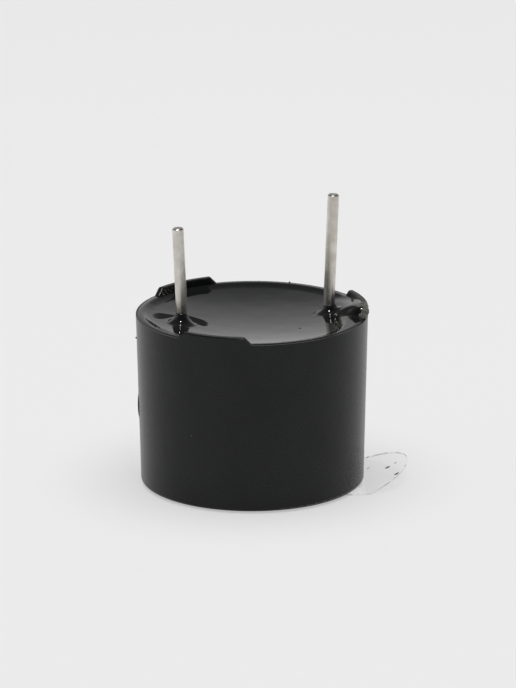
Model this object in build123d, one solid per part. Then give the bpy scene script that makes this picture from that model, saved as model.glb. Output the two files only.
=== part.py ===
"""A self-driven magnetic buzzer of the 12 mm class, standing on its sound face with its two pins up.

A moulded cup holds the whole works. Going up from the sound face there are a clear peel-off seal,
the cup's face wall with its sound hole, the front air chamber, a thin iron diaphragm with a weight
at its centre, a ring that carries it, a ring magnet, a wound bobbin on a riveted core, a yoke plate,
a round circuit board with a transistor and a resistor, and black resin poured over the board.
The resin has a dished top, climbs both pins, and has run over one of the three standoff feet.

+Z runs along the axis from the sound face to the pins. The origin is on the axis, in the plane the
buzzer stands on, which is the underside of the seal. +X points from the short pin to the long one.
All sizes are in millimetres and all angles in degrees.
"""
import math
import os

from build123d import *

# Housing
rim_diameter = 12.24
side_draft = 1.35
rim_wall = 0.4
face_thickness = 0.9
face_edge_radius = 0.2
ledge_width = 0.4
chamber_depth = 2.25
sound_hole_diameter = 2.5
sound_hole_chamfer = 0.25

# Standoff feet on the rim
foot_angles = (-1.0, 114.0, 236.5)
foot_height = 0.4
foot_thickness = 0.35
foot_width = 3.3
foot_flank = 0.38
foot_end_radius = 0.2
foot_edge_radius = 0.08

# Moulding gate's mark on the side wall
gate_mark_angle = 167.0
gate_mark_height = 4.25
gate_mark_length = 1.3
gate_mark_width = 0.5
gate_mark_proud = 0.05

# Clear seal with its pull tab
film_thickness = 0.08
film_margin = 0.7
tab_angle = -11.5
tab_width = 6.26
tab_overhang = 2.35
tab_root = 0.54
tab_bend_radius = 1.0
tab_incline = 24.0

# Support ring, diaphragm and its weight
fit_clearance = 0.05
recess_wall = 0.4
recess_depth = 0.25
diaphragm_thickness = 0.08
weight_diameter = 3.8
weight_thickness = 0.35

# Radii of the works, as shares of the radius of the bore that holds them
core_share = 0.19
drive_winding_share = 0.415
feedback_winding_share = 0.5
magnet_pocket_share = 0.82

# Magnet, core and yoke
magnet_height = 2.0
air_gap = 0.25
core_length = 2.35
core_stem_diameter = 1.4
yoke_thickness = 0.55
pin_notch_width = 1.5

# Bobbin and its two windings
bobbin_clearance = 0.04
bobbin_wall = 0.18
bobbin_flange_thickness = 0.2
bobbin_length = 2.15
flange_margin = 0.2
coil_gap = 0.25
wire_diameter = 0.1
lead_spacing_angle = 16.0
lead_angle = -90.0
lead_hole_diameter = 0.24
lead_stub = 0.12

# Circuit board and what is soldered to it
board_thickness = 0.6
board_hole_clearance = 0.08
transistor_place = (0.0, 1.9)
transistor_length = 2.9
transistor_width = 1.3
transistor_body_height = 0.85
transistor_body_draft = 0.07
transistor_standoff = 0.05
transistor_lead_pitch = 0.95
transistor_lead_width = 0.4
transistor_lead_thickness = 0.12
transistor_lead_embedded = 0.3
transistor_knee = 0.18
transistor_foot_length = 0.37
resistor_place = (0.0, -1.4)
resistor_length = 1.6
resistor_width = 0.8
resistor_height = 0.45
resistor_cap_length = 0.3
resistor_cap_wrap = 0.03
chip_solder_height = 0.2
chip_solder_margin = 0.18
pin_solder_diameter = 1.5
pin_solder_height = 0.55
pin_solder_collar = 0.05
coil_solder_diameter = 0.66
coil_solder_height = 0.26
coil_solder_collar = 0.1

# Pins
pin_diameter = 0.6
pin_pitch = 8.0
pin_pair_offset = 0.2
pin_lean = 2.3
pin_kink_rise = 0.08
pin_tail = 0.1
long_pin_reach = 6.16
short_pin_reach = 4.9
pin_tip_chamfer = 0.06

# Resin
potting_depth = 1.96
dish_depth = 0.3
dish_edge_width = 0.5
dish_edge_climb = 0.16
dish_edge_drop = 0.04
meniscus_radius = 0.75
meniscus_climb = 0.5
meniscus_collar = 0.04
spill_angle = -14.0
spill_ramp_radius = 1.1
spill_ramp_inset = 1.0
spill_ramp_drop = 0.1
spill_crest_radius = 0.5
spill_crest_inset = 0.33
spill_crest_rise = 0.15
spill_bead_radius = 0.36
spill_bead_inset = 0.2
spill_bead_lag = 4.0

# Room that a cutting tool leaves beyond what it cuts
cut_margin = 1.0

# How close two lengths are to count as one
tolerance = 1e-6

# Heights that follow from the sizes above
face_z = film_thickness
chamber_floor_z = face_z + face_thickness
ledge_z = chamber_floor_z + chamber_depth
seat_z = ledge_z + recess_depth
core_tip_z = seat_z + air_gap
yoke_z = core_tip_z + core_length
board_z = yoke_z + yoke_thickness
board_top_z = board_z + board_thickness
rim_z = board_top_z + potting_depth
foot_top_z = rim_z + foot_height
pin_kink_z = foot_top_z + pin_kink_rise

# Radii that follow from the sizes above
rim_radius = rim_diameter / 2
side_slope = math.tan(math.radians(side_draft))
face_radius = rim_radius - side_slope * (rim_z - face_z)
foot_top_radius = rim_radius + side_slope * foot_height
bore_radius = rim_radius - rim_wall
chamber_radius = bore_radius - ledge_width
insert_radius = bore_radius - fit_clearance
recess_radius = insert_radius - recess_wall
diaphragm_radius = recess_radius - fit_clearance
magnet_pocket_radius = magnet_pocket_share * insert_radius
magnet_radius = magnet_pocket_radius - fit_clearance
film_radius = face_radius - film_margin
pin_radius = pin_diameter / 2
wire_radius = wire_diameter / 2
core_radius = core_share * insert_radius
bobbin_bore_radius = core_radius + bobbin_clearance
barrel_radius = bobbin_bore_radius + bobbin_wall
drive_winding_radius = drive_winding_share * insert_radius
feedback_winding_radius = feedback_winding_share * insert_radius
flange_radius = feedback_winding_radius + flange_margin
magnet_bore_radius = flange_radius + coil_gap
lead_circle_radius = flange_radius + coil_gap / 2
lead_angles = [lead_angle + step * lead_spacing_angle for step in (-1, 0, 1)]


def polar(radius, angle, z=0.0):
    """Gives the point at a radius and an angle about the axis."""
    turn = math.radians(angle)
    return Vector(radius * math.cos(turn), radius * math.sin(turn), z)


def radial_plane(angle, z=0.0):
    """Gives the upright plane through the axis whose first direction points outwards at an angle."""
    outwards = polar(1, angle)
    return Plane(origin=(0, 0, z), x_dir=outwards, z_dir=outwards.cross(Vector(0, 0, 1)))


def turned(points):
    """Revolves a closed outline of radius and height pairs about the axis."""
    outline = make_face(Polyline(*[(r, 0, z) for r, z in points], close=True))
    return revolve(outline, Axis.Z)


def tube(outer_radius, inner_radius, low_z, high_z):
    """Gives a plain ring between two heights."""
    return turned([(inner_radius, low_z), (outer_radius, low_z),
                   (outer_radius, high_z), (inner_radius, high_z)])


def disc(radius, low_z, high_z):
    """Gives a plain disc between two heights."""
    upwards = (Align.CENTER, Align.CENTER, Align.MIN)
    return Pos(0, 0, low_z) * Cylinder(radius, high_z - low_z, align=upwards)


def arc_radius(half_chord, rise):
    """Gives the radius of the arc that rises by a height over half a chord."""
    return (half_chord ** 2 + rise ** 2) / (2 * rise)


def hollow_cone(radius, top_radius, height):
    """A cone whose side sweeps up in an arc, the shape that a liquid takes where it climbs a wire."""
    outline = make_face([
        Line((0, 0, 0), (radius, 0, 0)),
        TangentArc((radius, 0, 0), (top_radius, 0, height), tangent=(-1, 0, 0)),
        Line((top_radius, 0, height), (0, 0, height)),
        Line((0, 0, height), (0, 0, 0))])
    return revolve(outline, Axis.Z)


def housing():
    """The moulded cup: drafted wall, face with its sound hole, inner ledge, and feet on the rim."""
    hole_radius = sound_hole_diameter / 2
    section = make_face(Polyline(
        (hole_radius, face_z), (face_radius, face_z), (foot_top_radius, foot_top_z),
        (bore_radius, foot_top_z), (bore_radius, ledge_z), (chamber_radius, ledge_z),
        (chamber_radius, chamber_floor_z), (hole_radius, chamber_floor_z), close=True))
    section = fillet(section.vertices().sort_by_distance((face_radius, face_z))[0], face_edge_radius)
    section = fillet(section.vertices().sort_by_distance((foot_top_radius, foot_top_z))[0], foot_edge_radius)
    section = chamfer(section.vertices().sort_by_distance((hole_radius, face_z))[0], sound_hole_chamfer)
    cup = revolve(Plane.XZ * section, Axis.Z) + gate_mark()
    gaps = tube(foot_top_radius + cut_margin, bore_radius - cut_margin, rim_z, foot_top_z + cut_margin)
    for angle in foot_angles:
        gaps -= foot_blank(angle)
    return cup - gaps


def foot_blank(angle):
    """What is left standing when the rim is cut down between its feet: one foot, too thick outwards."""
    inner_radius = rim_radius - foot_thickness
    ring = tube(foot_top_radius + 2 * cut_margin, inner_radius, rim_z, foot_top_z)
    half_top = foot_width / 2
    half_low = half_top + foot_flank
    flanks = Plane.YZ * make_face(Polyline((-half_low, rim_z), (half_low, rim_z), (half_top, foot_top_z),
                                           (-half_top, foot_top_z), close=True))
    blank = ring & extrude(flanks, amount=rim_diameter)
    corners = blank.edges().filter_by(lambda edge: is_inner_corner(edge, inner_radius))
    blank = fillet(corners, foot_end_radius)
    blank = fillet(blank.edges().group_by(Axis.Z)[-1], foot_edge_radius)
    return Rot(0, 0, angle) * blank


def is_inner_corner(edge, radius):
    """Tells whether an edge of a foot lies on its inner face and runs up it."""
    ends = edge.vertices()
    rises = ends[0].Z != ends[-1].Z
    return rises and all(abs(math.hypot(end.X, end.Y) - radius) < tolerance for end in ends)


def gate_mark():
    """The low lens-shaped stub where the moulding's gate was broken off."""
    wall_radius = rim_radius - side_slope * (rim_z - gate_mark_height)
    root = wall_radius - rim_wall / 2
    half = gate_mark_length / 2
    lens = make_face([
        Line((root, -half), (wall_radius, -half)),
        ThreePointArc((wall_radius, -half), (wall_radius + gate_mark_proud, 0), (wall_radius, half)),
        Line((wall_radius, half), (root, half)),
        Line((root, half), (root, -half))])
    plane = radial_plane(gate_mark_angle, gate_mark_height)
    return extrude(plane * lens, amount=gate_mark_width / 2, both=True)


def seal_film():
    """The clear seal: a disc under the sound face with an oval tab bent up beside the housing."""
    incline = math.radians(tab_incline)
    low_radius = tab_bend_radius
    high_radius = low_radius - film_thickness

    def on_bend(radius, turn, beyond=0.0):
        """Gives a point of the bend's side view, or one straight beyond it."""
        return (face_radius + radius * math.sin(turn) + beyond * math.cos(turn),
                low_radius - radius * math.cos(turn) + beyond * math.sin(turn))

    back = -2 * film_radius
    side = make_face([
        Line((back, 0), on_bend(low_radius, 0)),
        ThreePointArc(on_bend(low_radius, 0), on_bend(low_radius, incline / 2), on_bend(low_radius, incline)),
        Line(on_bend(low_radius, incline), on_bend(low_radius, incline, tab_overhang)),
        Line(on_bend(low_radius, incline, tab_overhang), on_bend(high_radius, incline, tab_overhang)),
        Line(on_bend(high_radius, incline, tab_overhang), on_bend(high_radius, incline)),
        ThreePointArc(on_bend(high_radius, incline), on_bend(high_radius, incline / 2), on_bend(high_radius, 0)),
        Line(on_bend(high_radius, 0), (back, film_thickness)),
        Line((back, film_thickness), (back, 0))])
    strip = extrude(radial_plane(tab_angle) * side, amount=2 * film_radius, both=True)
    tab = Pos(face_radius - tab_root, 0) * Ellipse(tab_overhang + tab_root, tab_width / 2)
    outline = Circle(film_radius) + Rot(0, 0, tab_angle) * tab
    return strip & extrude(outline, amount=film_thickness + tab_overhang)


def diaphragm():
    """The thin iron disc, which the magnet pulls up against the support ring's seat."""
    return disc(diaphragm_radius, seat_z - diaphragm_thickness, seat_z)


def diaphragm_weight():
    """The small disc welded to the diaphragm's centre, on the side of the sound hole."""
    top = seat_z - diaphragm_thickness
    return disc(weight_diameter / 2, top - weight_thickness, top)


def support_ring():
    """The ring on the housing's ledge: its recess holds the diaphragm, and its bore the magnet."""
    return turned([(recess_radius, ledge_z), (insert_radius, ledge_z), (insert_radius, yoke_z),
                   (magnet_pocket_radius, yoke_z), (magnet_pocket_radius, seat_z), (recess_radius, seat_z)])


def ring_magnet():
    """The ring magnet, which holds itself flat against the yoke plate."""
    return tube(magnet_radius, magnet_bore_radius, yoke_z - magnet_height, yoke_z)


def pole_core():
    """The iron core, with a thinner stem riveted flush through the yoke plate."""
    return disc(core_radius, core_tip_z, yoke_z) + disc(core_stem_diameter / 2, yoke_z, board_z)


def pin_foot(side):
    """Gives the point where a pin's axis meets the board's outer face, for side +1 (long) or -1."""
    return Vector(pin_pair_offset + side * pin_pitch / 2, 0, board_top_z)


def pin_direction(side):
    """Gives the direction of a pin's free end, which leans outwards."""
    lean = math.radians(pin_lean)
    return Vector(side * math.sin(lean), 0, math.cos(lean))


def pin_point(side, z):
    """Gives the point of a pin's axis at a height: upright as far as the kink, and leaning above it."""
    slope = math.tan(math.radians(pin_lean))
    return Vector(pin_foot(side).X + side * slope * max(z - pin_kink_z, 0), 0, z)


def lead_holes(low_z, high_z):
    """The tools that drill the small holes for the coil's leads, through a plate between two heights."""
    drill = disc(lead_hole_diameter / 2, low_z, high_z)
    return [Pos(polar(lead_circle_radius, angle)) * drill for angle in lead_angles]


def yoke_plate():
    """The round iron plate, notched round both pins and drilled for the core and the coil's leads."""
    plate = tube(insert_radius, core_stem_diameter / 2, yoke_z, board_z)
    for side in (1, -1):
        notch = SlotCenterToCenter(rim_diameter, pin_notch_width)
        middle = pin_foot(side).X + side * rim_diameter / 2
        plate -= Pos(middle, 0, yoke_z) * extrude(notch, amount=yoke_thickness)
    return plate - lead_holes(yoke_z, board_z)


def coil_bobbin():
    """The moulded spool on the core, flanged at both ends."""
    low = yoke_z - bobbin_length
    low_flange = low + bobbin_flange_thickness
    high_flange = yoke_z - bobbin_flange_thickness
    return turned([(bobbin_bore_radius, low), (flange_radius, low), (flange_radius, low_flange),
                   (barrel_radius, low_flange), (barrel_radius, high_flange),
                   (flange_radius, high_flange), (flange_radius, yoke_z), (bobbin_bore_radius, yoke_z)])


def winding(outer_radius, inner_radius):
    """One winding, which fills the bobbin between its flanges from one radius to another."""
    low = yoke_z - bobbin_length + bobbin_flange_thickness
    return tube(outer_radius, inner_radius, low, yoke_z - bobbin_flange_thickness)


def coil_lead(angle):
    """One enamelled wire: out of the winding, and up through the yoke and the board into its solder."""
    start_z = yoke_z - bobbin_flange_thickness - wire_diameter
    path = Polyline(
        polar(feedback_winding_radius, angle, start_z), polar(lead_circle_radius, angle, start_z),
        polar(lead_circle_radius, angle, board_top_z + lead_stub))
    section = Plane(origin=path @ 0, z_dir=path % 0) * Circle(wire_radius)
    return sweep(section, path=path, transition=Transition.RIGHT)


def coil_leads():
    """The three leads of the two windings."""
    return Compound(children=[coil_lead(angle) for angle in lead_angles])


def circuit_board():
    """The round board on the yoke plate, drilled for the pins and the coil's leads."""
    board = disc(insert_radius, board_z, board_top_z)
    drill = disc(pin_radius + board_hole_clearance, board_z, board_top_z)
    for side in (1, -1):
        board -= Pos(pin_foot(side).X, 0) * drill
    return board - lead_holes(board_z, board_top_z)


def transistor_body():
    """The moulded transistor package, drafted away from its waist both ways."""
    low = board_top_z + transistor_standoff
    high = low + transistor_body_height
    waist = Rectangle(transistor_length, transistor_width)
    end = offset(waist, -transistor_body_draft, kind=Kind.INTERSECTION)
    place = Pos(*transistor_place)
    middle = place * Pos(0, 0, (low + high) / 2) * waist
    body = loft([place * Pos(0, 0, low) * end, middle]) + loft([middle, place * Pos(0, 0, high) * end])
    return body - transistor_leads()


def transistor_lead_places():
    """Gives each transistor lead's offset along the package, and the side that it is on."""
    return [(-transistor_lead_pitch, -1), (transistor_lead_pitch, -1), (0.0, 1)]


def transistor_lead(along, side):
    """One bent lead of the transistor, from the package's waist down to the board."""
    thickness = transistor_lead_thickness
    waist_z = board_top_z + transistor_standoff + (transistor_body_height + thickness) / 2
    root = transistor_width / 2 - transistor_lead_embedded
    knee = transistor_width / 2 + transistor_knee
    tip = knee + transistor_foot_length
    outline = make_face(Polyline(
        (root, waist_z), (knee, waist_z), (knee + thickness, waist_z - thickness),
        (knee + thickness, board_top_z + thickness), (tip, board_top_z + thickness), (tip, board_top_z),
        (knee, board_top_z), (knee, waist_z - thickness), (root, waist_z - thickness), close=True))
    middle = Vector(*transistor_place) + Vector(along, 0)
    return extrude(Plane(origin=middle, x_dir=(0, side, 0), z_dir=(side, 0, 0)) * outline,
                   amount=transistor_lead_width / 2, both=True)


def transistor_leads():
    """The transistor's three leads."""
    return Compound(children=[transistor_lead(*place) for place in transistor_lead_places()])


def resistor_body():
    """The ceramic slab of the chip resistor, between its metal ends."""
    slab = Box(resistor_length - 2 * resistor_cap_length, resistor_width - 2 * resistor_cap_wrap,
               resistor_height - 2 * resistor_cap_wrap)
    return Pos(*resistor_place, board_top_z + resistor_height / 2) * slab


def resistor_cap_x(side):
    """Gives the middle of one metal end along the resistor, for side +1 or -1."""
    return resistor_place[0] + side * (resistor_length - resistor_cap_length) / 2


def resistor_cap(side):
    """One metal end of the chip resistor."""
    block = Box(resistor_cap_length, resistor_width, resistor_height)
    return Pos(resistor_cap_x(side), resistor_place[1], board_top_z + resistor_height / 2) * block


def resistor_caps():
    """Both metal ends of the chip resistor."""
    return Compound(children=[resistor_cap(side) for side in (-1, 1)])


def solder_mound(x, y, length, width):
    """A low mound of solder on the board, with sloping sides, round a joint of a given size."""
    joint = Rectangle(length, width)
    place = Pos(x, y, board_top_z)
    wide = place * offset(joint, chip_solder_margin, kind=Kind.INTERSECTION)
    narrow = offset(joint, chip_solder_margin / 2, kind=Kind.INTERSECTION)
    narrow = place * Pos(0, 0, chip_solder_height) * narrow
    return loft([wide, narrow])


def chip_solder():
    """The solder at the transistor's three leads and the resistor's two ends."""
    mounds = []
    for along, side in transistor_lead_places():
        reach = transistor_width / 2 + transistor_knee + transistor_foot_length / 2
        mound = solder_mound(transistor_place[0] + along, transistor_place[1] + side * reach,
                             transistor_lead_width, transistor_foot_length)
        mounds.append(mound - transistor_lead(along, side) - transistor_body())
    for side in (-1, 1):
        mound = solder_mound(resistor_cap_x(side), resistor_place[1], resistor_cap_length, resistor_width)
        mounds.append(mound - resistor_cap(side) - resistor_body())
    return Compound(children=[main_solid(mound) for mound in mounds])


def main_solid(shape):
    """Gives the largest solid of a shape, without the slivers that a cut leaves."""
    return shape.solids().sort_by(SortBy.VOLUME)[-1]


def round_rod(start, direction, length):
    """Gives a rod of the pins' wire from a point, in a direction."""
    wire = Cylinder(pin_radius, length, align=(Align.CENTER, Align.CENTER, Align.MIN))
    return Plane(origin=start, z_dir=direction) * wire


def pin(side, reach):
    """One round tinned pin: upright in the board and the resin, bent a little outwards where it is free."""
    kink = pin_point(side, pin_kink_z)
    tip = pin_point(side, rim_z + reach)
    tail = pin_point(side, board_z - pin_tail)
    lean = pin_direction(side)
    upwards = Vector(0, 0, 1)
    mitre = Plane(origin=kink, z_dir=lean + upwards)
    upright = round_rod(tail, upwards, pin_kink_z - tail.Z + pin_diameter)
    free = round_rod(kink - lean * pin_diameter, lean, (tip - kink).length + pin_diameter)
    free = chamfer(free.edges().sort_by(Axis.Z)[-1], pin_tip_chamfer)
    return split(upright, bisect_by=mitre, keep=Keep.BOTTOM) + split(free, bisect_by=mitre, keep=Keep.TOP)


def solder_cone(radius, top_radius, height):
    """A cone of solder that stands on the ground plane."""
    return Cone(radius, top_radius, height, align=(Align.CENTER, Align.CENTER, Align.MIN))


def pin_solder():
    """The solder cones that fix both pins to the board."""
    cone = solder_cone(pin_solder_diameter / 2, pin_radius + pin_solder_collar, pin_solder_height)
    cones = [Pos(pin_foot(side)) * cone - pin(side, long_pin_reach) for side in (1, -1)]
    return Compound(children=cones)


def coil_solder():
    """The three small mounds of solder that hold the coil's leads."""
    mound = solder_cone(coil_solder_diameter / 2, wire_radius + coil_solder_collar, coil_solder_height)
    mounds = [Pos(polar(lead_circle_radius, angle, board_top_z)) * mound - coil_lead(angle)
              for angle in lead_angles]
    return Compound(children=mounds)


def resin_pour():
    """The resin over the board: a shallow dish that turns up at the wall and climbs both pins."""
    edge_z = rim_z - dish_edge_drop
    turn_z = edge_z - dish_edge_climb
    middle_z = turn_z - dish_depth
    turn_radius = bore_radius - dish_edge_width
    dish = TangentArc((0, 0, middle_z), (turn_radius, 0, turn_z), tangent=(1, 0, 0))
    upturn = TangentArc((turn_radius, 0, turn_z), (bore_radius, 0, edge_z), tangent=dish % 1)
    outline = make_face([
        Line((0, 0, board_top_z), (0, 0, middle_z)), dish, upturn,
        Line((bore_radius, 0, edge_z), (bore_radius, 0, board_top_z)),
        Line((bore_radius, 0, board_top_z), (0, 0, board_top_z))])
    pour = revolve(outline, Axis.Z)
    dish_radius = arc_radius(turn_radius, dish_depth)
    cone = hollow_cone(meniscus_radius, pin_radius + meniscus_collar, meniscus_climb)
    for side in (1, -1):
        reach = abs(pin_point(side, turn_z).X)
        base_z = middle_z + dish_radius - math.sqrt(dish_radius ** 2 - reach ** 2)
        meniscus = Pos(pin_point(side, base_z)) * cone
        pour += meniscus & disc(bore_radius, board_top_z, base_z + meniscus_climb)
    return pour


def resin_drop(radius, inset, angle, top_z):
    """A round drop of resin near the rim, at an inset from it, that rises to a given height."""
    drop = Pos(polar(rim_radius - inset, angle, top_z - radius)) * Sphere(radius)
    return drop & disc(rim_diameter, board_top_z, top_z)


def resin_spill():
    """The resin that climbed from the long pin's side and ran over the nearest foot."""
    ramp = resin_drop(spill_ramp_radius, spill_ramp_inset, spill_angle, foot_top_z - spill_ramp_drop)
    crest = resin_drop(spill_crest_radius, spill_crest_inset, spill_angle, foot_top_z + spill_crest_rise)
    bead = resin_drop(spill_bead_radius, spill_bead_inset, spill_angle - spill_bead_lag,
                      foot_top_z + spill_crest_rise)
    return ramp + crest + bead


def potting_resin(cast_against):
    """The cured resin: the pour and its spill, less everything that it was cast against."""
    resin = resin_pour() + resin_spill()
    for piece in cast_against:
        resin -= piece
    return main_solid(resin)


def build():
    """Makes every piece, under the name that its file gets."""
    pieces = {
        "housing": housing(),
        "seal_film": seal_film(),
        "diaphragm": diaphragm(),
        "diaphragm_weight": diaphragm_weight(),
        "support_ring": support_ring(),
        "ring_magnet": ring_magnet(),
        "pole_core": pole_core(),
        "yoke_plate": yoke_plate(),
        "coil_bobbin": coil_bobbin(),
        "drive_winding": winding(drive_winding_radius, barrel_radius),
        "feedback_winding": winding(feedback_winding_radius, drive_winding_radius),
        "coil_leads": coil_leads(),
        "circuit_board": circuit_board(),
        "transistor_body": transistor_body(),
        "transistor_leads": transistor_leads(),
        "resistor_body": resistor_body(),
        "resistor_caps": resistor_caps(),
        "chip_solder": chip_solder(),
        "coil_solder": coil_solder(),
        "pin_solder": pin_solder(),
        "long_pin": pin(1, long_pin_reach),
        "short_pin": pin(-1, short_pin_reach),
    }
    cast_against = ["housing", "coil_leads", "transistor_body", "transistor_leads", "resistor_body",
                    "resistor_caps", "chip_solder", "coil_solder", "pin_solder", "long_pin", "short_pin"]
    pieces["potting_resin"] = potting_resin([pieces[name] for name in cast_against])
    return pieces


os.makedirs("parts", exist_ok=True)
for node, shape in build().items():
    export_step(shape, f"parts/{node}.step")
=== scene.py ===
"""Studio picture of a self-driven magnetic buzzer that stands on its sound face with its pins up.

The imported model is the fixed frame: its nodes keep their shapes and get their finishes here. One
node is replaced, the potting resin, because its cast surface is too fine for the solids: it climbs
both pins, dips where bubbles burst, and runs up the nearest standoff foot, where a lump of it set.

Sizes are in millimetres and angles in degrees, unless a name says otherwise. Blender works in metres.
"""
import logging
import math
from dataclasses import dataclass
from enum import Enum
from typing import Iterable

import bmesh
import bpy
from mathutils import Euler, Matrix, Vector, noise
from mathutils.geometry import delaunay_2d_cdt

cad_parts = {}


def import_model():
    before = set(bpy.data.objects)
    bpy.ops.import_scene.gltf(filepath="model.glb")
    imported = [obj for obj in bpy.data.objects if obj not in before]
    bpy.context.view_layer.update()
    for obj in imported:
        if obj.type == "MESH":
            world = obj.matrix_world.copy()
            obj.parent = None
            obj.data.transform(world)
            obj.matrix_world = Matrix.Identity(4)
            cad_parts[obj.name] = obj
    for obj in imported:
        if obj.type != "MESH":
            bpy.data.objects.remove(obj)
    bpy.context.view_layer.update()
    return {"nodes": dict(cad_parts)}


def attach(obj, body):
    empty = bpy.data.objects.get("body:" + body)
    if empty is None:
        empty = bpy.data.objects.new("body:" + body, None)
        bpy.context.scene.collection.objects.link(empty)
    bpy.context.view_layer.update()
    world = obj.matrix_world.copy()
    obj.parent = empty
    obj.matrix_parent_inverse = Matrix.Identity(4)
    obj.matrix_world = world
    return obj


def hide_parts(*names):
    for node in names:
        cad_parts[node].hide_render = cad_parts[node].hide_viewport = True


LOG = logging.getLogger("buzzer")
MM = 0.001

# The wave texture's period at a scale of 1.
WAVE_PERIOD = 0.314
# The noise at which a finish shows only its main colour, and only its mottle.
MOTTLE_NOISE = (0.35, 0.65)

Point2 = tuple[float, float]
Point3 = tuple[float, float, float]


class Shading(Enum):
    """How a mesh's faces are shaded."""

    SMOOTH = "smooth"
    FACETED = "faceted"


class LampUse(Enum):
    """What a lamp is there for."""

    LIGHT = "lights the matt surfaces, and gloss does not show it"
    GLINT = "shows in gloss only, as a small bright spot"


def linear(hex_colour: str) -> tuple[float, float, float, float]:
    """Turns an sRGB hex colour into the linear colour that a shader takes.

    Args:
        hex_colour: Six hex digits, with or without a leading hash.

    Returns:
        Red, green, blue and an alpha of 1.
    """
    digits = hex_colour.lstrip("#")
    parts = [int(digits[i:i + 2], 16) / 255 for i in (0, 2, 4)]
    red, green, blue = (p / 12.92 if p <= 0.04045 else ((p + 0.055) / 1.055) ** 2.4 for p in parts)
    return red, green, blue, 1.0


def add_node(tree: bpy.types.NodeTree, kind: str, settings: dict | None = None,
             links: dict | None = None) -> bpy.types.Node:
    """Adds one node with its settings and its links.

    Args:
        tree: The node tree.
        kind: The node's type name, without the leading ShaderNode.
        settings: Values by property name, or by socket name or number.
        links: Output sockets by the name or number of the input that each one feeds.

    Returns:
        The new node.
    """
    node = tree.nodes.new("ShaderNode" + kind)
    for key, value in (settings or {}).items():
        if isinstance(key, str) and key.islower() and hasattr(node, key):
            setattr(node, key, value)
        else:
            node.inputs[key].default_value = value
    for key, output in (links or {}).items():
        tree.links.new(output, node.inputs[key])
    return node


def smooth_step(low: float, high: float, value: float) -> float:
    """Rises smoothly from 0 to 1.

    Args:
        low: Where it is 0.
        high: Where it is 1, which may be the lower of the two.
        value: Where it is asked for.

    Returns:
        The share, from 0 to 1.
    """
    t = min(max((value - low) / (high - low), 0.0), 1.0)
    return t * t * (3 - 2 * t)


def polar(radius: float, angle: float) -> Point2:
    """Gives the point at a radius and an angle about the buzzer's axis."""
    return radius * math.cos(math.radians(angle)), radius * math.sin(math.radians(angle))


def piece(name: str, verts: Iterable[Point3], faces: Iterable[tuple[int, ...]], shading: Shading,
          finish: bpy.types.Material) -> bpy.types.Object:
    """Makes a mesh object from points in millimetres, which rides on the buzzer's body.

    Args:
        name: The object's name.
        verts: The points.
        faces: The faces, as indices into the points.
        shading: How its faces are shaded.
        finish: Its material.

    Returns:
        The new object.
    """
    mesh = bpy.data.meshes.new(name)
    mesh.from_pydata([tuple(c * MM for c in v) for v in verts], [], list(faces))
    mesh.validate()
    tidy = bmesh.new()
    tidy.from_mesh(mesh)
    bmesh.ops.recalc_face_normals(tidy, faces=tidy.faces)
    tidy.to_mesh(mesh)
    tidy.free()
    mesh.polygons.foreach_set("use_smooth", [shading is Shading.SMOOTH] * len(mesh.polygons))
    mesh.materials.append(finish)
    made = bpy.data.objects.new(name, mesh)
    bpy.context.scene.collection.objects.link(made)
    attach(made, "root")
    LOG.info("%s: %d faces", name, len(mesh.polygons))
    return made


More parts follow.
